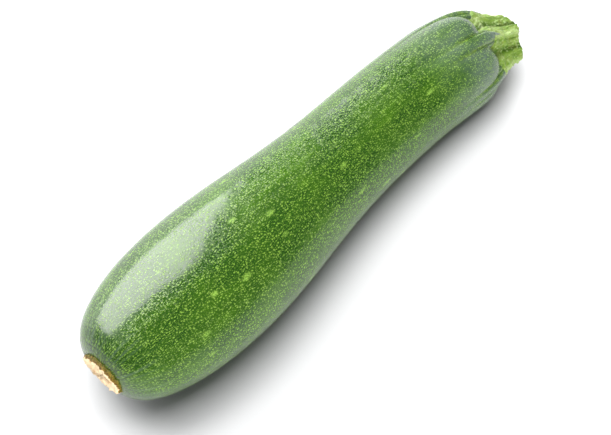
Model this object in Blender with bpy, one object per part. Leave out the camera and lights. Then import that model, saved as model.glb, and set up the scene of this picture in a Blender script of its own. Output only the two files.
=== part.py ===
"""A courgette as picked, lying on its side: the fruit, its cut stem and the corky scar of its flower.

Metres, +Z up. The courgette lies along X, flower end towards -X and stem towards +X. The origin is
on the surface that it rests on, below the middle of its box.
"""

import math

import bmesh
import bpy
import numpy as np

# Fruit. Places along it are measured from the tip of its flower end.
BELLY_AT = 0.044
BELLY_RADIUS = 0.0246
BELLY_SPREAD = 0.045
DOME_FULLNESS = 0.293
NECK_RADIUS = 0.01725
SHOULDER_AT = 0.146
SHOULDER_END = 0.1735
SHOULDER_FULLNESS = 0.24
SHOULDER_SQUARENESS = 3.0

# Sideways bend of the fruit: places along it, and how far the axis is off the straight line there.
BEND_AT = (0.004, 0.033, 0.072, 0.130, 0.172)
BEND_BY = (-0.0010, -0.0005, 0.0003, 0.0027, -0.0012)

# The fruit lies on its belly and on its shoulder, where its underside is pressed a little flat.
LIES_AT = (BELLY_AT, 0.150)
PRESSED_FLAT = 0.0004

# Five broad lobes crowd round the foot of the stem, one between each two of its ribs.
RIBS = 5
FIRST_RIB = math.radians(101)
LOBE_HEIGHT = 0.0004
LOBE_SHORT = 0.0014
LOBE_FADE = 0.035

# Stem, cut from the plant. Heights are measured from its seat inside the ring of lobes.
SEAT_AT = 0.1717
STEM_HEIGHT = 0.0102
STEM_LEAN = math.radians(15)
STEM_LEAN_WAY = math.radians(217)
RIB_RADIUS = 0.0075
GROOVE_RADIUS = 0.0061
FLARE_HEIGHT = 0.0045

# Flower scar, a corky disc whose outer face is broken off at a slant.
SCAR_AT = 0.0006
SCAR_RADIUS = 0.0079
SCAR_HEIGHT = 0.0020
SCAR_SLANT = math.radians(-4)

# Gap left between pieces that touch, and the number of points round and rings along each piece.
GAP = 0.0003
AROUND = 50
DOME_RINGS = 13
BODY_RINGS = 24
SHOULDER_RINGS = 12
STEM_RINGS = 8

TURN = np.linspace(0.0, 2.0 * math.pi, AROUND, endpoint=False)
ONES = np.ones(AROUND)


def lobe_wave(turn):
    """1 in the middle of each lobe, -1 in line with each rib of the stem."""
    return -np.cos(RIBS * (turn - FIRST_RIB))


def outline(along):
    """Radius of the fruit: a dome up to the belly, then a bell curve on a straight neck."""
    before = np.clip((BELLY_AT - along) / BELLY_AT, 0.0, 1.0)
    dome = BELLY_RADIUS * (1.0 - before**2) ** DOME_FULLNESS
    past = (along - BELLY_AT) / BELLY_SPREAD
    bell = NECK_RADIUS + (BELLY_RADIUS - NECK_RADIUS) * np.exp(-(past**2))
    return np.where(along < BELLY_AT, dome, bell)


def axis_point(along):
    """The fruit's axis: it bends a little sideways, and falls from the belly to the thin neck."""
    bend = np.polyval(np.polyfit(BEND_AT, BEND_BY, len(BEND_AT) - 1), along)
    belly_height, neck_height = outline(np.array(LIES_AT)) - PRESSED_FLAT
    fall = (belly_height - neck_height) / (LIES_AT[1] - LIES_AT[0])
    height = belly_height - fall * (along - BELLY_AT)
    return np.stack([along, bend, height], axis=-1)


def axis_frame(along):
    """Directions at a place on the axis: ahead to the stem, to the side, and square to both."""
    step = 0.0005
    ahead = axis_point(along + step) - axis_point(along - step)
    ahead /= np.linalg.norm(ahead)
    side = np.array([-ahead[1], ahead[0], 0.0])
    side /= np.linalg.norm(side)
    return ahead, side, np.cross(ahead, side)


def ring_at(along, radius, ahead_by=0.0):
    """A loop of points round the axis; ahead_by moves each of them along it."""
    ahead, side, above = axis_frame(along)
    outward = np.outer(np.cos(TURN), side) + np.outer(np.sin(TURN), above)
    return axis_point(along) + outward * (radius * ONES)[:, None] + np.outer(ahead_by * ONES, ahead)


def fruit_radius(along):
    """The outline with its lobes, rounded in towards the stem: sooner on a lobe than on a rib."""
    end = SHOULDER_END - LOBE_SHORT * lobe_wave(TURN)
    into = np.clip((along - SHOULDER_AT) / (end - SHOULDER_AT), 0.0, 1.0)
    closing = (1.0 - into**SHOULDER_SQUARENESS) ** SHOULDER_FULLNESS
    swelling = LOBE_HEIGHT * lobe_wave(TURN) * np.exp(-(((along - SEAT_AT) / LOBE_FADE) ** 2))
    return outline(along) * closing + swelling


def fruit_rings():
    """Rings from the seat of the scar, over the belly and the neck, to the seat of the stem."""
    dome = BELLY_AT * (1.0 - np.cos(np.linspace(0.0, math.pi / 2, DOME_RINGS)))
    rings = [ring_at(SCAR_AT, SCAR_RADIUS + GAP)]
    rings += [ring_at(at, fruit_radius(at)) for at in dome if at > 1.5 * SCAR_AT]
    body = np.linspace(BELLY_AT, SHOULDER_AT, BODY_RINGS)
    rings += [ring_at(at, fruit_radius(at)) for at in body[1:]]
    closing_in = np.sin(np.linspace(0.0, math.pi / 2, SHOULDER_RINGS))
    shoulder = SHOULDER_AT + (SEAT_AT - SHOULDER_AT) * closing_in
    rings += [ring_at(at, fruit_radius(at)) for at in shoulder[1:]]
    return rings


def stem_radius(height):
    """Out from the rim of the fruit, drawing in to a stub of ribs with grooves between them."""
    ribbed = GROOVE_RADIUS + (RIB_RADIUS - GROOVE_RADIUS) * (0.5 - 0.5 * lobe_wave(TURN)) ** 0.8
    return ribbed + (fruit_radius(SEAT_AT) - ribbed) * math.exp(-height / FLARE_HEIGHT)


def stem_rings():
    """Rings from the seat to the cut; the stub leans over, and the cut is square to the lean."""
    ahead, side, above = axis_frame(SEAT_AT)
    lean_way = math.cos(STEM_LEAN_WAY) * side + math.sin(STEM_LEAN_WAY) * above
    rings = []
    for height in np.linspace(0.0, STEM_HEIGHT, STEM_RINGS):
        middle = (GAP + height) * ahead + height * math.sin(STEM_LEAN) * lean_way
        flat = ring_at(SEAT_AT, stem_radius(height))
        tilt = math.tan(STEM_LEAN) * height / STEM_HEIGHT
        dip = (flat - axis_point(SEAT_AT)) @ lean_way * tilt
        rings.append(middle + flat - np.outer(dip, ahead))
    return rings


def scar_rings():
    """Two rings: the slanted outer face, and the seat on the fruit."""
    height = SCAR_HEIGHT + SCAR_RADIUS * np.sin(TURN) * math.tan(SCAR_SLANT)
    return [ring_at(SCAR_AT, SCAR_RADIUS, -GAP - height), ring_at(SCAR_AT, SCAR_RADIUS, -GAP)]


def plain_material(name, colour, roughness):
    """A Principled material with a colour and a roughness."""
    material = bpy.data.materials.new(name)
    material.use_nodes = True
    shader = material.node_tree.nodes["Principled BSDF"]
    shader.inputs["Base Color"].default_value = (*colour, 1.0)
    shader.inputs["Roughness"].default_value = roughness
    shader.inputs["Metallic"].default_value = 0.0
    return material


def solid_through(name, rings, material):
    """A closed body through rings of points, with a fan of triangles over each end."""
    mesh = bmesh.new()
    loops = [[mesh.verts.new(point) for point in ring] for ring in rings]
    for loop, further in zip(loops, loops[1:]):
        for one in range(AROUND):
            other = (one + 1) % AROUND
            mesh.faces.new((loop[one], loop[other], further[other], further[one]))
    first_tip = mesh.verts.new(rings[0].mean(axis=0))
    last_tip = mesh.verts.new(rings[-1].mean(axis=0))
    for one in range(AROUND):
        other = (one + 1) % AROUND
        mesh.faces.new((loops[0][other], loops[0][one], first_tip))
        mesh.faces.new((loops[-1][one], loops[-1][other], last_tip))
    bmesh.ops.triangulate(mesh, faces=mesh.faces[:])
    data = bpy.data.meshes.new(name)
    mesh.to_mesh(data)
    mesh.free()
    data.materials.append(material)
    data.shade_smooth()
    data.set_sharp_from_angle(angle=math.radians(40))
    thing = bpy.data.objects.new(name, data)
    bpy.context.scene.collection.objects.link(thing)
    return thing


def fruit():
    """The fruit in its skin, with the underside pressed flat where it lies."""
    rings = [np.column_stack([ring[:, :2], np.maximum(ring[:, 2], 0.0)]) for ring in fruit_rings()]
    return solid_through("fruit", rings, plain_material("skin", (0.075, 0.19, 0.028), 0.3))


def stem():
    """The ribbed stub of the stem."""
    return solid_through("stem", stem_rings(), plain_material("stem", (0.19, 0.32, 0.06), 0.55))


def scar():
    """The corky disc where the flower dropped off."""
    return solid_through("flower_scar", scar_rings(), plain_material("cork", (0.72, 0.52, 0.3), 0.85))


def centre_on_origin(things):
    """Moves the courgette so that the middle of its box is over the origin."""
    points = np.array([vertex.co for thing in things for vertex in thing.data.vertices])
    middle = 0.5 * (points.min(axis=0) + points.max(axis=0))
    for thing in things:
        thing.location = (-middle[0], -middle[1], 0.0)


for old in list(bpy.data.objects):
    bpy.data.objects.remove(old)
centre_on_origin([fruit(), stem(), scar()])
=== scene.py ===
"""A courgette as picked, lying on a pale table: the skin, the cut stem and the corky flower scar.

Metres, +Z up. The fruit lies along X, flower end towards -X and stem towards +X. Each piece is a
surface worked out on a grid of places along the fruit and turns round it, and is then coloured.
"""

import math

import bpy
import numpy as np
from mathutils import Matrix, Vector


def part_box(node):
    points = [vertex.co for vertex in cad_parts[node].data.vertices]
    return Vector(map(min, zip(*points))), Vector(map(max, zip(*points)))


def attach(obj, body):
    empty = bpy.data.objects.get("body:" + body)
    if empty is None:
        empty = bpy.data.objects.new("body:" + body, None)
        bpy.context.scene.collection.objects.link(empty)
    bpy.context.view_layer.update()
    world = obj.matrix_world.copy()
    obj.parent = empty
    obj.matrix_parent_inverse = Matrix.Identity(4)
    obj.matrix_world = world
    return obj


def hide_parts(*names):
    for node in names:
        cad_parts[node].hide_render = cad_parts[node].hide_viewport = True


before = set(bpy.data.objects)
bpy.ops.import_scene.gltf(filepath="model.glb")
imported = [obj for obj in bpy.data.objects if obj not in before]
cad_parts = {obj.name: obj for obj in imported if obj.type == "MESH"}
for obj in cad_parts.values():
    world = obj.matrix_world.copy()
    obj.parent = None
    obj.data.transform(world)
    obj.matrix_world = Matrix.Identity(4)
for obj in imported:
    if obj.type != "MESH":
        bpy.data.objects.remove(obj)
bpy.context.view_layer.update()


# ------------------------------------------------------------------------------------- the fruit
# The fruit is one grown body: a blunt dome at the flower end, a full belly and a long straight
# neck. Five lobes crowd round the stem, and between them five tongues of skin run up its ribs.

# Outline. Places along the fruit are measured from just inside the tip of its flower end.
BELLY_AT = 0.044
BELLY_RADIUS = 0.0246
BELLY_SPREAD = 0.045
DOME_FULLNESS = 0.29
TIP_AT = -0.0020
NECK_RADIUS = 0.01725

# The axis bends a little sideways, and the fruit rests on its belly and on its shoulder.
BEND_AT = (0.004, 0.033, 0.072, 0.130, 0.172)
BEND_BY = (-0.0010, -0.0005, 0.0003, 0.0027, -0.0012)
LIES_AT = (BELLY_AT, 0.150)
PRESSED_FLAT = 0.0004

# Lobes and ribs at the stem end. The lobes end a little sooner in line with the ribs, and those on
# one side of the fruit end sooner than the others.
RIBS = 5
FIRST_RIB = math.radians(101)
SHOULDER_AT = 0.146
RIB_END = 0.1749
RIB_SQUARENESS = 3.0
RIB_FULLNESS = 0.24
LOBE_END = 0.1697
LOBE_END_VARIES = 0.0012
LOBE_END_WAY = math.radians(30)
LOBE_SHORT_AT_RIBS = 0.0004
LOBE_SQUARENESS = 4.0
LOBE_FULLNESS = 0.2
LOBE_HEIGHT = 0.0007
LOBE_FADE = 0.035

# Tongues of skin on the ribs, with a crease down each side.
TONGUE_TIP = 0.1746
TONGUE_ROOT = 0.1690
TONGUE_HALF_WIDTH = 0.0024
TONGUE_PROUD = 0.00045
TONGUE_TAPER = 0.6
TONGUE_BLOOM_WIDTH = 0.0022
CREASE_DEPTH = 0.0009
CREASE_WIDTH = 0.0006
CREASE_FROM = 0.146
SKIN_UNDER_STEM = 0.0015
SKIN_FILLET = 0.0003

# Stem, whose ribs carry the tongues. Heights are measured from its seat between the lobes, where
# it spreads into a wide star.
SEAT_AT = 0.1717
STEM_HEIGHT = 0.0102
STEM_LEAN = math.radians(15)
STEM_LEAN_WAY = math.radians(217)
RIB_SHARPNESS = 0.8
RIB_RADIUS = 0.0075
GROOVE_RADIUS = 0.0061
STAR_RIB_RADIUS = 0.0125
STAR_GROOVE_RADIUS = 0.0084
FLARE_HEIGHT = 0.0045

# Seat of the flower scar, which is a little wider than the scar itself.
SCAR_AT = 0.0006
SCAR_RADIUS = 0.0079
SEAT_CLEAR = 0.0003

# Unevenness of the skin: its longest and finest waves, how many there are, and their seed. It
# grows from the tip to the place it is full, and fades out between the last two.
SKIN_WAVES = (0.110, 0.040, 24, 3)
SKIN_WAVE_HEIGHT = 0.00018
SKIN_RIPPLES = (0.012, 0.004, 60, 4)
SKIN_RIPPLE_HEIGHT = 0.000012
UNEVEN_FULL_AT = 0.012
UNEVEN_FADES = (0.160, 0.169)

# Points round the skin, and rings of them over the dome, the body, the shoulder and the rim.
SKIN_COLUMNS = 300
DOME_RINGS = 66
FIRST_RING_ANGLE = 0.06
BODY_RINGS = 130
BODY_ENDS = 0.150
SHOULDER_RINGS = 30
RIM_STARTS = 0.164
RIM_RINGS = 92
RIM_PAST_TIP = 0.0006


def lobe_wave(turn):
    """1 in the middle of each lobe, -1 in line with each rib of the stem."""
    return -np.cos(RIBS * (turn - FIRST_RIB))


def outline(along):
    """Radius of the fruit: a dome up to the belly, then a bell curve on a straight neck."""
    before = np.clip((BELLY_AT - along) / (BELLY_AT - TIP_AT), 0.0, 1.0)
    dome = BELLY_RADIUS * (1.0 - before**2) ** DOME_FULLNESS
    past = (along - BELLY_AT) / BELLY_SPREAD
    bell = NECK_RADIUS + (BELLY_RADIUS - NECK_RADIUS) * np.exp(-(past**2))
    return np.where(along < BELLY_AT, dome, bell)


def axis_point(along):
    """The fruit's axis: it bends a little sideways, and falls from the belly to the thin neck."""
    bend = np.polyval(np.polyfit(BEND_AT, BEND_BY, len(BEND_AT) - 1), along)
    belly_height, neck_height = outline(np.array(LIES_AT)) - PRESSED_FLAT
    fall = (belly_height - neck_height) / (LIES_AT[1] - LIES_AT[0])
    return np.stack([along, bend, belly_height - fall * (along - BELLY_AT)], axis=-1)


def axis_frame(along):
    """Directions at places on the axis: ahead to the stem, to the side, and square to both."""
    step = 0.0005
    ahead = axis_point(along + step) - axis_point(along - step)
    ahead /= np.linalg.norm(ahead, axis=-1, keepdims=True)
    side = np.stack([-ahead[..., 1], ahead[..., 0], 0.0 * ahead[..., 0]], axis=-1)
    side /= np.linalg.norm(side, axis=-1, keepdims=True)
    return ahead, side, np.cross(ahead, side)


def round_axis(along, turn, radius):
    """Points at a radius from the fruit's axis, square to it, for a grid of places and turns."""
    ahead, side, above = axis_frame(along[:, 0])
    outward = np.cos(turn)[..., None] * side[:, None, :] + np.sin(turn)[..., None] * above[:, None, :]
    return axis_point(along[:, 0])[:, None, :] + outward * radius[..., None]


def lean(points, height):
    """Bends points over with the stem: they slide the way it leans by their height times the sine
    of the lean, and their rings tilt by its tangent, in full at the cut."""
    ahead, side, above = axis_frame(np.array(SEAT_AT))
    way = math.cos(STEM_LEAN_WAY) * side + math.sin(STEM_LEAN_WAY) * above
    up = np.maximum(height, 0.0)[..., None]
    across = ((points - axis_point(np.array(SEAT_AT))) @ way)[..., None]
    tilted = across * math.tan(STEM_LEAN) * up / STEM_HEIGHT * ahead
    return points + up * math.sin(STEM_LEAN) * way - tilted


def closing(along, end, squareness, fullness):
    """From 1 at the shoulder to 0 at its end: one less a power of the way there, to a low power."""
    into = np.clip((along - SHOULDER_AT) / (end - SHOULDER_AT), 0.0, 1.0)
    return (1.0 - into**squareness) ** fullness


def ribbed(turn, groove, rib):
    """A radius that swings from the grooves to the ribs of the stem, as a power of a cosine wave."""
    return groove + (rib - groove) * (0.5 - 0.5 * lobe_wave(turn)) ** RIB_SHARPNESS


def stem_radius(height, turn):
    """A ribbed stub, and below it a wide star that dies away with height as an exponential."""
    stub = ribbed(turn, GROOVE_RADIUS, RIB_RADIUS)
    star = ribbed(turn, STAR_GROOVE_RADIUS, STAR_RIB_RADIUS)
    return stub + (star - stub) * np.exp(-np.maximum(height, 0.0) / FLARE_HEIGHT)


def larger(one, other, soft):
    """The larger of two radii, with a fillet of about that softness where they cross: half of
    their sum and of the root of their difference squared plus the softness squared."""
    return 0.5 * (one + other + np.sqrt((one - other) ** 2 + soft**2))


def from_rib(turn):
    """Angle to the nearest rib of the stem, in radians."""
    step = 2.0 * math.pi / RIBS
    return np.abs((turn - FIRST_RIB + 0.5 * step) % step - 0.5 * step)


def ease(value, start, end):
    """0 before the start and 1 after the end, with the S of a cubic between them."""
    way = np.clip((value - start) / (end - start), 0.0, 1.0)
    return way * way * (3.0 - 2.0 * way)


def uneven(along, turn, longest, finest, waves, seed):
    """Unevenness of about unit height: a sum of cosines with seeded directions and phases, whole
    numbers of waves round the fruit, and wavelengths from the longest to the finest."""
    chance = np.random.default_rng(seed)
    length = longest * (finest / longest) ** chance.random(waves)
    heading = chance.uniform(0.0, 2.0 * math.pi, waves)
    phase = chance.uniform(0.0, 2.0 * math.pi, waves)
    total = np.zeros(np.broadcast(along, turn).shape)
    for size, way, start in zip(length, heading, phase):
        times_round = round(2.0 * math.pi * NECK_RADIUS / size * math.sin(way))
        total += np.cos(2.0 * math.pi * along / size * math.cos(way) + times_round * turn + start)
    return total * math.sqrt(2.0 / waves)


def skin_radius(along, turn):
    """The skin from end to end: the outline closed in over the lobes, joined by a fillet to the
    ribs that run up the stem, less a crease down each side of every rib."""
    body = outline(along)
    swelling = lobe_wave(turn) * np.exp(-(((along - SEAT_AT) / LOBE_FADE) ** 2))
    lobe_end = LOBE_END - LOBE_END_VARIES * np.cos(turn - LOBE_END_WAY)
    lobe_end = lobe_end - LOBE_SHORT_AT_RIBS * (1.0 - lobe_wave(turn))
    lobes = body * closing(along, lobe_end, LOBE_SQUARENESS, LOBE_FULLNESS) + LOBE_HEIGHT * swelling
    height = along - SEAT_AT
    shoulder = body * closing(along, RIB_END, RIB_SQUARENESS, RIB_FULLNESS) - LOBE_HEIGHT
    ride = stem_radius(height, turn)
    crest = np.where(along < SEAT_AT, shoulder, ride)
    narrowing = np.clip((TONGUE_TIP - along) / (TONGUE_TIP - TONGUE_ROOT), 1e-4, 1.0) ** TONGUE_TAPER
    off = from_rib(turn) * crest / (TONGUE_HALF_WIDTH * narrowing)
    tucked = np.where(along > CREASE_FROM, ride - SKIN_UNDER_STEM, 0.0)
    tongues = np.maximum(crest + TONGUE_PROUD * (1.0 - off**4), tucked)
    skin = larger(lobes, tongues, SKIN_FILLET)
    beside = (from_rib(turn) * crest - TONGUE_HALF_WIDTH * narrowing) / CREASE_WIDTH
    crease = np.exp(-(beside**2)) * ease(along, CREASE_FROM, LOBE_END)
    return skin - CREASE_DEPTH * crease, crease


def skin_places():
    """Places along the fruit: close together on the dome, and closest where the lobes end."""
    opening = np.linspace(FIRST_RING_ANGLE, math.pi / 2, DOME_RINGS)
    dome = TIP_AT + (BELLY_AT - TIP_AT) * (1.0 - np.cos(opening))
    body = np.linspace(BELLY_AT, BODY_ENDS, BODY_RINGS)
    shoulder = np.linspace(BODY_ENDS, RIM_STARTS, SHOULDER_RINGS)
    rim = np.linspace(RIM_STARTS, TONGUE_TIP + RIM_PAST_TIP, RIM_RINGS)
    return np.concatenate([dome, body[1:], shoulder[1:], rim[1:]])


def closed_piece(name, rings, tips):
    """A closed mesh through rings of points, with a fan of triangles from each end to its tip."""
    count, columns = rings.shape[:2]
    index = np.arange(count * columns).reshape(count, columns)
    after = np.roll(index, -1, axis=1)
    walls = np.stack([index[:-1], after[:-1], after[1:], index[1:]], axis=-1).reshape(-1, 4)
    first = np.stack([after[0], index[0], np.full(columns, count * columns)], axis=-1)
    last = np.stack([index[-1], after[-1], np.full(columns, count * columns + 1)], axis=-1)
    mesh = bpy.data.meshes.new(name)
    points = np.concatenate([rings.reshape(-1, 3), np.array(tips)])
    mesh.from_pydata(points.tolist(), [], walls.tolist() + first.tolist() + last.tolist())
    mesh.shade_smooth()
    thing = bpy.data.objects.new(name, mesh)
    bpy.context.scene.collection.objects.link(thing)
    return thing


def mark(thing, name, values, tip_values):
    """Keeps a number, or three, for each point of a piece, for its material to read."""
    flat = np.concatenate([values.reshape(-1, *values.shape[2:]), np.array(tip_values)])
    kind, field = ("FLOAT_VECTOR", "vector") if flat.ndim == 2 else ("FLOAT", "value")
    attribute = thing.data.attributes.new(name, kind, "POINT")
    attribute.data.foreach_set(field, flat.astype(np.float32).ravel())


along, turn = np.meshgrid(
    skin_places(), np.linspace(0.0, 2.0 * math.pi, SKIN_COLUMNS, endpoint=False), indexing="ij"
)
radius, crease = skin_radius(along, turn)
fleshy = ease(along, TIP_AT, UNEVEN_FULL_AT) * (1.0 - ease(along, *UNEVEN_FADES))
radius = radius + SKIN_WAVE_HEIGHT * fleshy * uneven(along, turn, *SKIN_WAVES)
radius = radius + SKIN_RIPPLE_HEIGHT * fleshy * uneven(along, turn, *SKIN_RIPPLES)
points = lean(round_axis(along, turn, radius), along - SEAT_AT)

# What would sink into the table is pressed flat on it.
points[..., 2] = np.maximum(points[..., 2], 0.0)

# The frame's origin is under the middle of the courgette. The seat of the scar and the middle of
# the fruit's sides give the way there, and every piece is moved by it.
lowest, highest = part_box("fruit")
seat_radius = np.full_like(turn[:1], SCAR_RADIUS + SEAT_CLEAR)
seat = round_axis(along[:1] * 0.0 + SCAR_AT, turn[:1], seat_radius)
sides = points[..., 1]
TO_FRAME = np.array(
    [
        lowest.x - seat[..., 0].min(),
        0.5 * (lowest.y + highest.y) - 0.5 * (sides.min() + sides.max()),
        0.0,
    ]
)
points = points + TO_FRAME
tips = [points[0].mean(axis=0), points[-1].mean(axis=0)]
skin = closed_piece("courgette_skin", points, tips)
grain = np.stack([along, BELLY_RADIUS * np.cos(turn), BELLY_RADIUS * np.sin(turn)], axis=-1)
mark(skin, "grain", grain, [[TIP_AT, 0.0, 0.0], [TONGUE_TIP, 0.0, 0.0]])
mark(skin, "along", along, [0.0, TONGUE_TIP])
mark(skin, "crease", crease, [0.0, 0.0])
mark(skin, "rib", np.exp(-((from_rib(turn) * radius / TONGUE_BLOOM_WIDTH) ** 2)), [0.0, 0.0])


def node_maker(tree):
    """Empties a node tree and gives the maker of its nodes: options are a node's own, inputs are
    numbers or the sockets that feed it."""
    tree.nodes.clear()

    def node(kind, inputs, **options):
        made = tree.nodes.new("ShaderNode" + kind)
        for option, value in options.items():
            setattr(made, option, value)
        for key, value in inputs.items():
            if isinstance(value, bpy.types.NodeSocket):
                tree.links.new(value, made.inputs[key])
            else:
                made.inputs[key].default_value = value
        return made

    return node


def finish_of(name):
    """A new material, and the maker of its nodes."""
    material = bpy.data.materials.new(name)
    material.use_nodes = True
    return material, node_maker(material.node_tree)


def kept(node, name):
    """What mark() kept on the piece under that name: its vector, and its number."""
    attribute = node("Attribute", {}, attribute_name=name)
    return attribute.outputs["Vector"], attribute.outputs["Fac"]


def rise(node, value, start, end):
    """0 before the start and 1 after the end, easing between them; an end below the start falls."""
    inputs = {"Value": value, "From Min": start, "From Max": end}
    return node("MapRange", inputs, interpolation_type="SMOOTHSTEP").outputs["Result"]


def times(node, one, other):
    """Two numbers multiplied."""
    return node("Math", {0: one, 1: other}, operation="MULTIPLY").outputs[0]


def plus(node, one, other):
    """Two numbers added."""
    return node("Math", {0: one, 1: other}, operation="ADD").outputs[0]


def less(node, one, other):
    """The first number less the second."""
    return node("Math", {0: one, 1: other}, operation="SUBTRACT").outputs[0]


def tint(node, share, under, over):
    """The under colour with a share of the over colour laid on it."""
    return node("Mix", {0: share, 6: under, 7: over}, data_type="RGBA").outputs[2]


def scaled(node, vector, scale):
    """A vector stretched by three factors."""
    return node("VectorMath", {0: vector, 1: scale}, operation="MULTIPLY").outputs[0]


def noise(node, vector, scale, detail=2.0, roughness=0.5):
    """Soft noise between 0 and 1, its cells one over the scale wide."""
    inputs = {"Vector": vector, "Scale": scale, "Detail": detail, "Roughness": roughness}
    return node("TexNoise", inputs).outputs["Fac"]


def cells(node, vector, scale):
    """Distance to the nearest of scattered seeds, and a random number for each seed."""
    made = node("TexVoronoi", {"Vector": vector, "Scale": scale, "Randomness": 0.8})
    chance = node("SeparateColor", {"Color": made.outputs["Color"]}).outputs["Red"]
    return made.outputs["Distance"], chance


def dots(node, vector, scale, smallest, largest, soft):
    """Dots round scattered seeds, each of its own size, as shares of the seeds' spacing."""
    distance, chance = cells(node, vector, scale)
    size = node("MapRange", {"Value": chance, "To Min": smallest, "To Max": largest}).outputs["Result"]
    return rise(node, less(node, size, distance), -0.5 * soft, 0.5 * soft)


DEEP_GREEN = (0.0075, 0.0320, 0.0004, 1.0)
LEAF_GREEN = (0.0240, 0.0680, 0.0008, 1.0)
DOT_GREEN = (0.134, 0.230, 0.028, 1.0)
BLOTCH_GREEN = (0.160, 0.280, 0.040, 1.0)
BLOOM_GREEN = (0.060, 0.080, 0.072, 1.0)
CREASE_GREEN = (0.115, 0.185, 0.012, 1.0)
OLIVE = (0.035, 0.055, 0.005, 1.0)

# Dots of the skin: how many to a metre, and their smallest size, largest size and softness as
# shares of their spacing. Those whose size is below nothing are not there.
SPECKS = (2000.0, 0.14, 0.44, 0.28)
CRUMBS = (3100.0, 0.10, 0.45, 0.30)
BLOTCHES = (165.0, -0.18, 0.23, 0.14)

# The grain runs along the fruit: dots are longer that way, and streaks much longer.
ALONG_DOTS = (0.60, 1.0, 1.0)
ALONG_STREAKS = (0.05, 1.0, 1.0)

# Where the bloom of the shoulder, the rays round the scar, the bloom on the tips of the tongues
# and the olive collar under the scar begin and are full, as places along the fruit.
BLOOM_RISES = (0.138, 0.164)
RAYS_RISE = (0.014, 0.001)
TONGUE_BLOOM_RISES = (0.166, 0.176)
COLLAR_RISES = (-0.0012, -0.0015)

# Roughness of the wax, and what the shoulder's bloom and the dots add to it.
WAX_ROUGHNESS = 0.14
SHOULDER_ROUGHER = 0.15
DOTS_ROUGHER = 0.10


def skin_finish():
    """Deep and leaf green skin, crowded with pale dots and a few soft blotches drawn out along the
    fruit, with a grey bloom at the shoulder, pale rays and an olive collar round the scar, pale
    lips in the creases and painted shade darkening their bottoms, all under a natural wax."""
    material, node = finish_of("skin")
    grain = kept(node, "grain")[0]
    along = kept(node, "along")[1]
    crease = kept(node, "crease")[1]
    rib = kept(node, "rib")[1]
    stretched = scaled(node, grain, ALONG_DOTS)
    waver = noise(node, stretched, 160.0, 3.0)
    streak = noise(node, scaled(node, grain, ALONG_STREAKS), 420.0, 2.0)
    fine = noise(node, stretched, 2600.0, 1.0)
    ground = plus(node, noise(node, grain, 55.0, 2.0), times(node, streak, waver))
    colour = tint(node, rise(node, ground, 0.55, 1.25), DEEP_GREEN, LEAF_GREEN)
    shoulder = times(node, rise(node, along, *BLOOM_RISES), rise(node, waver, 0.1, 0.7))
    colour = tint(node, times(node, shoulder, 0.70), colour, BLOOM_GREEN)
    speck = dots(node, stretched, *SPECKS)
    crumb = dots(node, stretched, *CRUMBS)
    blotch = dots(node, stretched, *BLOTCHES)
    dotted = times(node, speck, rise(node, fine, 0.1, 0.6))
    mottled = times(node, blotch, rise(node, fine, 0.2, 0.75))
    colour = tint(node, times(node, crumb, 0.30), colour, DOT_GREEN)
    colour = tint(node, times(node, mottled, 0.85), colour, BLOTCH_GREEN)
    colour = tint(node, times(node, dotted, 0.85), colour, DOT_GREEN)
    rays = times(node, rise(node, along, *RAYS_RISE), rise(node, streak, 0.5, 0.62))
    colour = tint(node, times(node, rays, 0.3), colour, BLOOM_GREEN)
    tip = times(node, rise(node, along, *TONGUE_BLOOM_RISES), rib)
    colour = tint(node, times(node, tip, 0.8), colour, BLOOM_GREEN)
    broken = times(node, crease, rise(node, noise(node, grain, 600.0), 0.35, 0.6))
    colour = tint(node, times(node, broken, 0.8), colour, CREASE_GREEN)
    # Painted shade: the bottoms of the creases are darkened towards deep green, as if shade falls in
    # them.
    colour = tint(node, times(node, rise(node, crease, 0.55, 0.95), 0.85), colour, DEEP_GREEN)
    collar = times(node, rise(node, along, *COLLAR_RISES), rise(node, fine, 0.1, 0.6))
    colour = tint(node, collar, colour, OLIVE)
    relief = plus(node, plus(node, dotted, crumb), times(node, fine, 0.6))
    bump = node("Bump", {"Height": relief, "Strength": 0.45, "Distance": 0.00008})
    rougher = plus(node, times(node, shoulder, SHOULDER_ROUGHER), times(node, dotted, DOTS_ROUGHER))
    shader = node(
        "BsdfPrincipled",
        {
            "Base Color": colour,
            "Roughness": plus(node, rougher, WAX_ROUGHNESS),
            "Specular IOR Level": 0.5,
            "Normal": bump.outputs[0],
        },
    )
    node("OutputMaterial", {"Surface": shader.outputs[0]})
    return material


skin.data.materials.append(skin_finish())
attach(skin, "root")
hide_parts("fruit")


# -------------------------------------------------------------------------------------- the stem
# The stub of the stem, cut from the plant. It grows out of the fruit with five thick ribs and
# smaller ridges between them, all covered with tiny prickles, and its cut face is bare and pale.

STEM_ROOT = -0.007
STEM_COLUMNS = 260
SIDE_RINGS = 90
CORNER_RINGS = 6
FACE_RINGS = 26

# Ridges between the ribs, which rise from the seat, and the bumps and prickles on them: longest
# and finest waves, how many there are, and their seed.
RIDGE_HEIGHT = 0.00020
RIDGES_FULL_AT = 0.004
STEM_BUMPS = (0.0050, 0.0020, 60, 11)
STEM_PRICKLES = (0.0022, 0.0015, 60, 12)
PRICKLE_HEIGHT = 0.00020

# The cut: its rounded edge, how far its face dried in, the grain of the face, and the two dips
# that the knife left, each with its depth, its middle and its reach.
CUT_ROUNDING = 0.0006
CUT_SUNK = 0.0003
CUT_GRAIN = (0.004, 0.0012, 40, 13)
CUT_GRAIN_HEIGHT = 0.00012
CUT_DIPS = (
    (0.0021, math.radians(33), math.radians(18)),
    (0.0013, math.radians(117), math.radians(22)),
)

# One rib is thick at its foot.
FOOT_BULGE = 0.0009
FOOT_BULGE_TURN = math.radians(180)
FOOT_BULGE_REACH = math.radians(25)
FOOT_BULGE_AT = 0.0035


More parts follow.
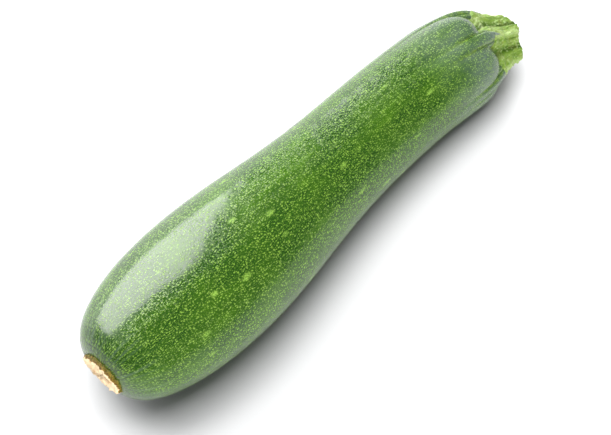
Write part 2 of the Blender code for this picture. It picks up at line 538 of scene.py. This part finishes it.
def stem_surface(height, turn):
    """The ribbed star and stub, plus a bell for the thick foot, two cosine waves for the smaller
    ridges, and the bumps with those prickles that stand out."""
    off_rib = turn - FIRST_RIB
    smaller = np.cos(3 * RIBS * off_rib) + 0.6 * np.cos(2 * RIBS * off_rib + 0.8)
    ridges = ease(height, 0.0, RIDGES_FULL_AT) * RIDGE_HEIGHT * smaller
    bumps = uneven(height, turn, *STEM_BUMPS)
    prickles = np.maximum(uneven(height, turn, *STEM_PRICKLES), 0.0)
    round_foot = (turn - FOOT_BULGE_TURN) / FOOT_BULGE_REACH
    up_foot = height / FOOT_BULGE_AT - 1.0
    foot = FOOT_BULGE * np.exp(-(round_foot**2) - (up_foot**2))
    return stem_radius(height, turn) + foot + ridges + PRICKLE_HEIGHT * (bumps + 0.6 * prickles)


def cut_dip(turn):
    """How far the cut falls below its highest point: one bell for each dip."""
    return sum(depth * np.exp(-(((turn - middle) / reach) ** 2)) for depth, middle, reach in CUT_DIPS)


# Rings run up the side, round the edge of the cut and in over its face. Each has its height, how
# far the rounding draws it in, and its share of the radius.
side_heights = np.linspace(STEM_ROOT, STEM_HEIGHT - CUT_ROUNDING, SIDE_RINGS)
corner = np.linspace(0.0, math.pi / 2, CORNER_RINGS)[1:]
corner_heights = STEM_HEIGHT - CUT_ROUNDING * (1.0 - np.sin(corner))
corner_inset = CUT_ROUNDING * (1.0 - np.cos(corner))
face_share = np.linspace(1.0, 0.0, FACE_RINGS)[1:-1]
face_ones = np.ones(face_share.size)
heights = np.concatenate([side_heights, corner_heights, STEM_HEIGHT * face_ones])
inset = np.concatenate([0.0 * side_heights, corner_inset, CUT_ROUNDING * face_ones])
share = np.concatenate([1.0 + 0.0 * side_heights, 1.0 + 0.0 * corner, face_share])
stem_turns = np.linspace(0.0, 2.0 * math.pi, STEM_COLUMNS, endpoint=False)
height, turn = np.meshgrid(heights, stem_turns, indexing="ij")
height = height - cut_dip(turn) * ease(height, 0.0, STEM_HEIGHT) * np.maximum(share, 0.4)[:, None]
stem_out = (stem_surface(height, turn) - inset[:, None]) * share[:, None]
cut = np.broadcast_to(1.0 - share[:, None], stem_out.shape)
on_face = ease(cut, 0.0, 0.03)
sunk = on_face * (CUT_SUNK + CUT_GRAIN_HEIGHT * uneven(stem_out, turn, *CUT_GRAIN))
ahead, side, above = axis_frame(np.array(SEAT_AT))
outward = np.cos(turn)[..., None] * side + np.sin(turn)[..., None] * above
points = axis_point(np.array(SEAT_AT)) + outward * stem_out[..., None]
points = points + (height - sunk)[..., None] * ahead
points = lean(points, height) + TO_FRAME
stem = closed_piece("stem_stub", points, [points[0].mean(axis=0), points[-1].mean(axis=0)])
mark(stem, "cut", cut + 0.0, [0.0, 1.0])
mark(stem, "height", height, [STEM_ROOT, STEM_HEIGHT])
big_ribs = 0.5 - 0.5 * lobe_wave(turn)
small_ribs = 0.5 + 0.5 * np.cos(3 * RIBS * (turn - FIRST_RIB))
mark(stem, "ridge", 0.6 * big_ribs + 0.4 * small_ribs, [0.0, 0.0])

STEM_GREEN = (0.093, 0.158, 0.017, 1.0)
GROOVE_GREEN = (0.036, 0.080, 0.001, 1.0)
PRICKLE_GREEN = (0.25, 0.32, 0.13, 1.0)
CUT_GREEN = (0.30, 0.34, 0.18, 1.0)
CUT_BROWN = (0.18, 0.16, 0.06, 1.0)

# Prickles as the skin's dots are given: how many to a metre, smallest, largest and softness.
STEM_DOTS = (1000.0, 0.05, 0.50, 0.30)


def stem_finish():
    """Grass green, deeper in the grooves and faintly browned in patches, with pale prickles. The
    cut face is pale green, with a paler ring and a brown middle."""
    material, node = finish_of("stem")
    cut = kept(node, "cut")[1]
    ridge = kept(node, "ridge")[1]
    height = kept(node, "height")[1]
    place = node("TexCoord", {}).outputs["Object"]
    cloudy = noise(node, place, 450.0, 3.0)
    fine = noise(node, place, 2200.0, 2.0)
    green = rise(node, plus(node, ridge, cloudy), 0.62, 1.05)
    colour = tint(node, green, GROOVE_GREEN, STEM_GREEN)
    prickle = dots(node, place, *STEM_DOTS)
    colour = tint(node, times(node, prickle, 0.45), colour, PRICKLE_GREEN)
    crest = rise(node, plus(node, ridge, fine), 1.0, 1.6)
    colour = tint(node, times(node, crest, 0.6), colour, PRICKLE_GREEN)
    browned = rise(node, plus(node, height, cloudy), 0.50, 0.53)
    colour = tint(node, times(node, browned, 0.15), colour, CUT_BROWN)
    face = rise(node, cut, 0.005, 0.05)
    ring = times(node, rise(node, cut, 0.25, 0.45), rise(node, cloudy, 0.3, 0.7))
    faced = tint(node, ring, CUT_GREEN, PRICKLE_GREEN)
    faced = tint(node, times(node, rise(node, cut, 0.65, 0.95), 0.5), faced, CUT_BROWN)
    colour = tint(node, face, colour, faced)
    relief = plus(node, times(node, fine, 0.7), prickle)
    bump = node("Bump", {"Height": relief, "Strength": 0.6, "Distance": 0.00015})
    shader = node(
        "BsdfPrincipled",
        {
            "Base Color": colour,
            "Roughness": 0.48,
            "Specular IOR Level": 0.4,
            "Subsurface Weight": 0.08,
            "Subsurface Radius": (0.001, 0.002, 0.0005),
            "Subsurface Scale": 1.0,
            "Normal": bump.outputs[0],
        },
    )
    node("OutputMaterial", {"Surface": shader.outputs[0]})
    return material


stem.data.materials.append(stem_finish())
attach(stem, "root")
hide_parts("stem")


# --------------------------------------------------------------------------------- the flower scar
# The dry corky disc that the flower dropped from. It grew as part of the fruit's blunt end: a
# rough broken face with cracks and a small pit, and a ragged olive brown edge against the skin.

# The face is broken off at a slant at one place along the fruit, and the foot of the wall round
# it stands this far out from the seat.
FACE_AT = -0.0028
SCAR_SLANT = math.radians(-4)
FOOT_LIFT = 0.0004
SCAR_COLUMNS = 220
WALL_RINGS = 14
BROKEN_RINGS = 46

# The wall flares out to the skin and is ragged and frayed on its way up to a rounded edge. Waves
# are given as the longest, the finest, how many there are, and their seed.
WALL_FLARE = 0.0006
WALL_RAGGED = (0.012, 0.0012, 60, 21)
RAGGED_HEIGHT = 0.00022
WALL_FRAYED = (0.0040, 0.0014, 60, 24)
FRAYED_HEIGHT = 0.00028
FRAYED_OVER = 0.004
EDGE_ROUNDING = 0.0002

# The broken face has crumbs and plates, three cracks that wind outwards, and a small pit.
CRUMB_WAVES = (0.0045, 0.0009, 120, 22)
PLATE_WAVES = (0.008, 0.004, 30, 23)
CRUMB_HEIGHT = 0.00016
CRACK_TURN = 0.9
CRACK_WINDING = 260.0
CRACK_WIDTH = 0.10
CRACK_DEPTH = 0.0006
PIT_AT = (0.0010, -0.0004)
PIT_WIDTH = 0.0009
PIT_DEPTH = 0.0010
EDGE_DROP = 0.00012

rim = np.linspace(0.0, 1.0, WALL_RINGS)
face = np.linspace(1.0, 0.0, BROKEN_RINGS)[1:-1]
shares = np.concatenate([np.ones(rim.size), face])
rising = np.concatenate([rim, np.ones(face.size)])
scar_turns = np.linspace(0.0, 2.0 * math.pi, SCAR_COLUMNS, endpoint=False)
share, turn = np.meshgrid(shares, scar_turns, indexing="ij")
rising = np.broadcast_to(rising[:, None], share.shape)
ragged = RAGGED_HEIGHT * uneven(0.0 * turn, turn, *WALL_RAGGED)
frayed = FRAYED_HEIGHT * uneven(FRAYED_OVER * rising, turn, *WALL_FRAYED)
edge_radius = SCAR_RADIUS + WALL_FLARE * (1.0 - rising) ** 1.5 + ragged * rising
edge_radius = edge_radius - EDGE_ROUNDING * rising**6
edge_radius = edge_radius + frayed * np.sin(math.pi * np.minimum(rising + 0.15, 1.0))
scar_out = edge_radius * share
crumbs = CRUMB_HEIGHT * uneven(scar_out, turn, *CRUMB_WAVES)
plates = CRUMB_HEIGHT * uneven(scar_out, turn, *PLATE_WAVES)
winding = np.sin(1.5 * (turn - CRACK_TURN) + CRACK_WINDING * scar_out)
crack = np.exp(-((winding / CRACK_WIDTH) ** 2)) * ease(share, 0.1, 0.35) * ease(share, 0.98, 0.7)
pit_away = (scar_out * np.cos(turn) - PIT_AT[0]) ** 2 + (scar_out * np.sin(turn) - PIT_AT[1]) ** 2
pit = np.exp(-pit_away / PIT_WIDTH**2)
top = SCAR_AT - FACE_AT + SCAR_RADIUS * share * np.sin(turn) * math.tan(SCAR_SLANT)
top = top + crumbs + plates - CRACK_DEPTH * crack - PIT_DEPTH * pit
top = top - EDGE_DROP * ease(share, 0.95, 1.0)
lift = FOOT_LIFT + (top - FOOT_LIFT) * rising
points = round_axis(0.0 * turn + SCAR_AT, -turn, scar_out)
points = points - lift[..., None] * axis_frame(np.array(SCAR_AT))[0] + TO_FRAME
scar = closed_piece("flower_scar_cork", points, [points[0].mean(axis=0), points[-1].mean(axis=0)])
mark(scar, "hole", np.clip(crack + pit, 0.0, 1.0) * rising, [0.0, 0.0])
mark(scar, "wall", 1.0 - rising, [1.0, 0.0])

CORK_CREAM = (0.62, 0.48, 0.31, 1.0)
CORK_TAN = (0.42, 0.25, 0.115, 1.0)
CORK_BROWN = (0.050, 0.024, 0.005, 1.0)
CORK_GOLD = (0.15, 0.10, 0.015, 1.0)


def cork_finish():
    """Pale cream cork with patches of tan, dark in its cracks and its pit. The wall is brown bark
    at the edge, and turns olive against the skin."""
    material, node = finish_of("cork")
    place = node("TexCoord", {}).outputs["Object"]
    cloudy = noise(node, place, 420.0, 3.0)
    fine = noise(node, place, 2400.0, 3.0, 0.6)
    colour = tint(node, rise(node, cloudy, 0.48, 0.75), CORK_CREAM, CORK_TAN)
    colour = tint(node, times(node, rise(node, fine, 0.55, 0.8), 0.35), colour, CORK_TAN)
    colour = tint(node, times(node, kept(node, "hole")[1], 0.85), colour, CORK_BROWN)
    wall = kept(node, "wall")[1]
    bark = tint(node, rise(node, fine, 0.42, 0.58), CORK_BROWN, CORK_GOLD)
    olive = tint(node, rise(node, fine, 0.4, 0.6), OLIVE, CORK_GOLD)
    lower = rise(node, plus(node, wall, times(node, cloudy, 0.3)), 0.36, 0.56)
    bark = tint(node, lower, bark, olive)
    colour = tint(node, rise(node, wall, 0.02, 0.12), colour, bark)
    bump = node("Bump", {"Height": fine, "Strength": 0.7, "Distance": 0.0002})
    shader = node(
        "BsdfPrincipled",
        {
            "Base Color": colour,
            "Roughness": 0.85,
            "Specular IOR Level": 0.25,
            "Normal": bump.outputs[0],
        },
    )
    node("OutputMaterial", {"Surface": shader.outputs[0]})
    return material


scar.data.materials.append(cork_finish())
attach(scar, "root")
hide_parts("flower_scar")


# ------------------------------------------------------------------------------------- the table
# A plain table top with a matt white finish. It ends where the light on it does, so that its edge
# stays nearly as white as the room. The courgette just lies on it.

TABLE_REACH = 0.7
TABLE_WHITE = (0.42, 0.42, 0.425, 1.0)


def table_finish():
    """Matt white, grey enough for the lights to bring it just to white."""
    material, node = finish_of("table_white")
    shader = node("BsdfDiffuse", {"Color": TABLE_WHITE})
    node("OutputMaterial", {"Surface": shader.outputs[0]})
    return material


corners = TABLE_REACH * np.array([[-1, -1, 0], [1, -1, 0], [1, 1, 0], [-1, 1, 0]], float)
table_mesh = bpy.data.meshes.new("table_top")
table_mesh.from_pydata(corners.tolist(), [], [(0, 1, 2, 3)])
table_mesh.materials.append(table_finish())
table_top = bpy.data.objects.new("table_top", table_mesh)
bpy.context.scene.collection.objects.link(table_top)


# ------------------------------------------------------------------------------------- the light
# A large soft box stands behind the fruit and leans over it, and makes the long streak in its
# gloss. A glow from the same side, a card in front and a card overhead are too soft to show in
# the gloss, and give the even light. All of them stand in a dim white room.

# Which way the box is from the middle of the table and how far, and how far it is then slid
# across and up.
BOX_TOWARDS = (0.231, 0.652, 0.722)
BOX_DISTANCE = 0.80
BOX_WIDTH = 1.44
BOX_LENGTH = 1.13
BOX_SLIDE = (0.65, -0.185)
BOX_POWER = 57.0

towards = np.array(BOX_TOWARDS) / np.linalg.norm(BOX_TOWARDS)
across = np.cross((0.0, 0.0, 1.0), towards)
across /= np.linalg.norm(across)
upright = np.cross(towards, across)
lamp = bpy.data.lights.new("soft_box", "AREA")
lamp.shape = "RECTANGLE"
lamp.size = BOX_WIDTH
lamp.size_y = BOX_LENGTH
lamp.energy = BOX_POWER
soft_box = bpy.data.objects.new("soft_box", lamp)
bpy.context.scene.collection.objects.link(soft_box)
turned = np.eye(4)
turned[:3, 0] = across
turned[:3, 1] = upright
turned[:3, 2] = towards
turned[:3, 3] = towards * BOX_DISTANCE + across * BOX_SLIDE[0] + upright * BOX_SLIDE[1]
soft_box.matrix_world = [list(row) for row in turned.T]
soft_box.visible_camera = False
soft_box.visible_diffuse = False


def soft_card(name, size, direction, distance, power):
    """A square card of light at a distance in a direction, facing the middle of the table."""
    light = bpy.data.lights.new(name, "AREA")
    light.shape = "SQUARE"
    light.size = size
    light.energy = power
    card = bpy.data.objects.new(name, light)
    card.location = [distance * part for part in direction]
    card.rotation_mode = "QUATERNION"
    card.rotation_quaternion = card.location.to_track_quat("Z", "Y")
    card.visible_camera = False
    card.visible_glossy = False
    bpy.context.scene.collection.objects.link(card)
    return card


def lights_only(card, name, things):
    """Flags a card off everything else, as with a screen held beside it."""
    only = bpy.data.collections.new(name)
    for thing in things:
        only.objects.link(thing)
    card.light_linking.receiver_collection = only


# The glow stands where the box does. The fill card is screened off the table, so that it softens
# the near side of the fruit and not its shadow, and the top card is screened off the fruit.
GLOW_SIZE = 1.2
GLOW_POWER = 22.5
FILL_SIZE = 1.2
FILL_TOWARDS = (-0.36, -0.82, 0.46)
FILL_DISTANCE = 1.1
FILL_POWER = 36.0
TOP_SIZE = 0.60
TOP_TOWARDS = (0.02, 0.08, 0.997)
TOP_DISTANCE = 1.0
TOP_POWER = 18.0

soft_card("box_glow", GLOW_SIZE, BOX_TOWARDS, BOX_DISTANCE, GLOW_POWER)
fill_card = soft_card("fill_card", FILL_SIZE, FILL_TOWARDS, FILL_DISTANCE, FILL_POWER)
lights_only(fill_card, "courgette", (skin, stem, scar))
top_card = soft_card("top_card", TOP_SIZE, TOP_TOWARDS, TOP_DISTANCE, TOP_POWER)
lights_only(top_card, "table", (table_top,))

# The room lights the fruit a little more from overhead: it brightens between the two heights on
# a ball of radius one. Seen by the camera it is plain white, like a backdrop with its own light.
ROOM_WHITE = (0.95, 0.98, 1.0, 1.0)
BACKDROP_WHITE = (1.0, 1.0, 1.0, 1.0)
WALL_BRIGHTNESS = 0.25
WALL_UP_TO = 0.30
CEILING_BRIGHTNESS = 0.30
CEILING_FROM = 0.75

world = bpy.data.worlds.new("room")
world.use_nodes = True
node = node_maker(world.node_tree)
steep = node("SeparateXYZ", {0: node("TexCoord", {}).outputs["Generated"]}).outputs["Z"]
brightness = node(
    "MapRange",
    {
        "Value": steep,
        "From Min": WALL_UP_TO,
        "From Max": CEILING_FROM,
        "To Min": WALL_BRIGHTNESS,
        "To Max": CEILING_BRIGHTNESS,
    },
)
room = node("Background", {"Color": ROOM_WHITE, "Strength": brightness.outputs["Result"]})
backdrop = node("Background", {"Color": BACKDROP_WHITE})
seen = node("LightPath", {}).outputs["Is Camera Ray"]
either = node("MixShader", {0: seen, 1: room.outputs[0], 2: backdrop.outputs[0]})
node("OutputWorld", {"Surface": either.outputs[0]})
bpy.context.scene.world = world
bpy.context.scene.view_settings.view_transform = "Standard"


# ------------------------------------------------------------------------------------ the camera
# It stands at a low tripod's height and looks down steeply on the fruit through a long lens, so
# that the flower end is at the lower left and the stem at the upper right.

CAMERA_AZIMUTH = math.radians(-43.70)
CAMERA_ELEVATION = math.radians(69.5)
CAMERA_DISTANCE = 0.75
CAMERA_LENS = 134.2
CAMERA_SENSOR = 36.0
CAMERA_NEAREST = 0.01
AIM_HEIGHT = 0.020
AIM_RIGHT = -0.0026
AIM_UP = -0.00869

right = np.array([math.cos(CAMERA_AZIMUTH), math.sin(CAMERA_AZIMUTH), 0.0])
level = np.array([math.sin(CAMERA_AZIMUTH), -math.cos(CAMERA_AZIMUTH), 0.0])
back = level * math.cos(CAMERA_ELEVATION) + np.array([0.0, 0.0, math.sin(CAMERA_ELEVATION)])
up = np.cross(back, right)
camera = bpy.data.objects.new("camera", bpy.data.cameras.new("camera"))
camera.data.sensor_width = CAMERA_SENSOR
camera.data.lens = CAMERA_LENS
camera.data.clip_start = CAMERA_NEAREST
bpy.context.scene.collection.objects.link(camera)
aim = np.array([0.0, 0.0, AIM_HEIGHT]) + AIM_RIGHT * right + AIM_UP * up
tripod = np.eye(4)
tripod[:3, 0] = right
tripod[:3, 1] = up
tripod[:3, 2] = back
tripod[:3, 3] = aim + CAMERA_DISTANCE * back
camera.matrix_world = [list(row) for row in tripod.T]
bpy.context.scene.camera = camera
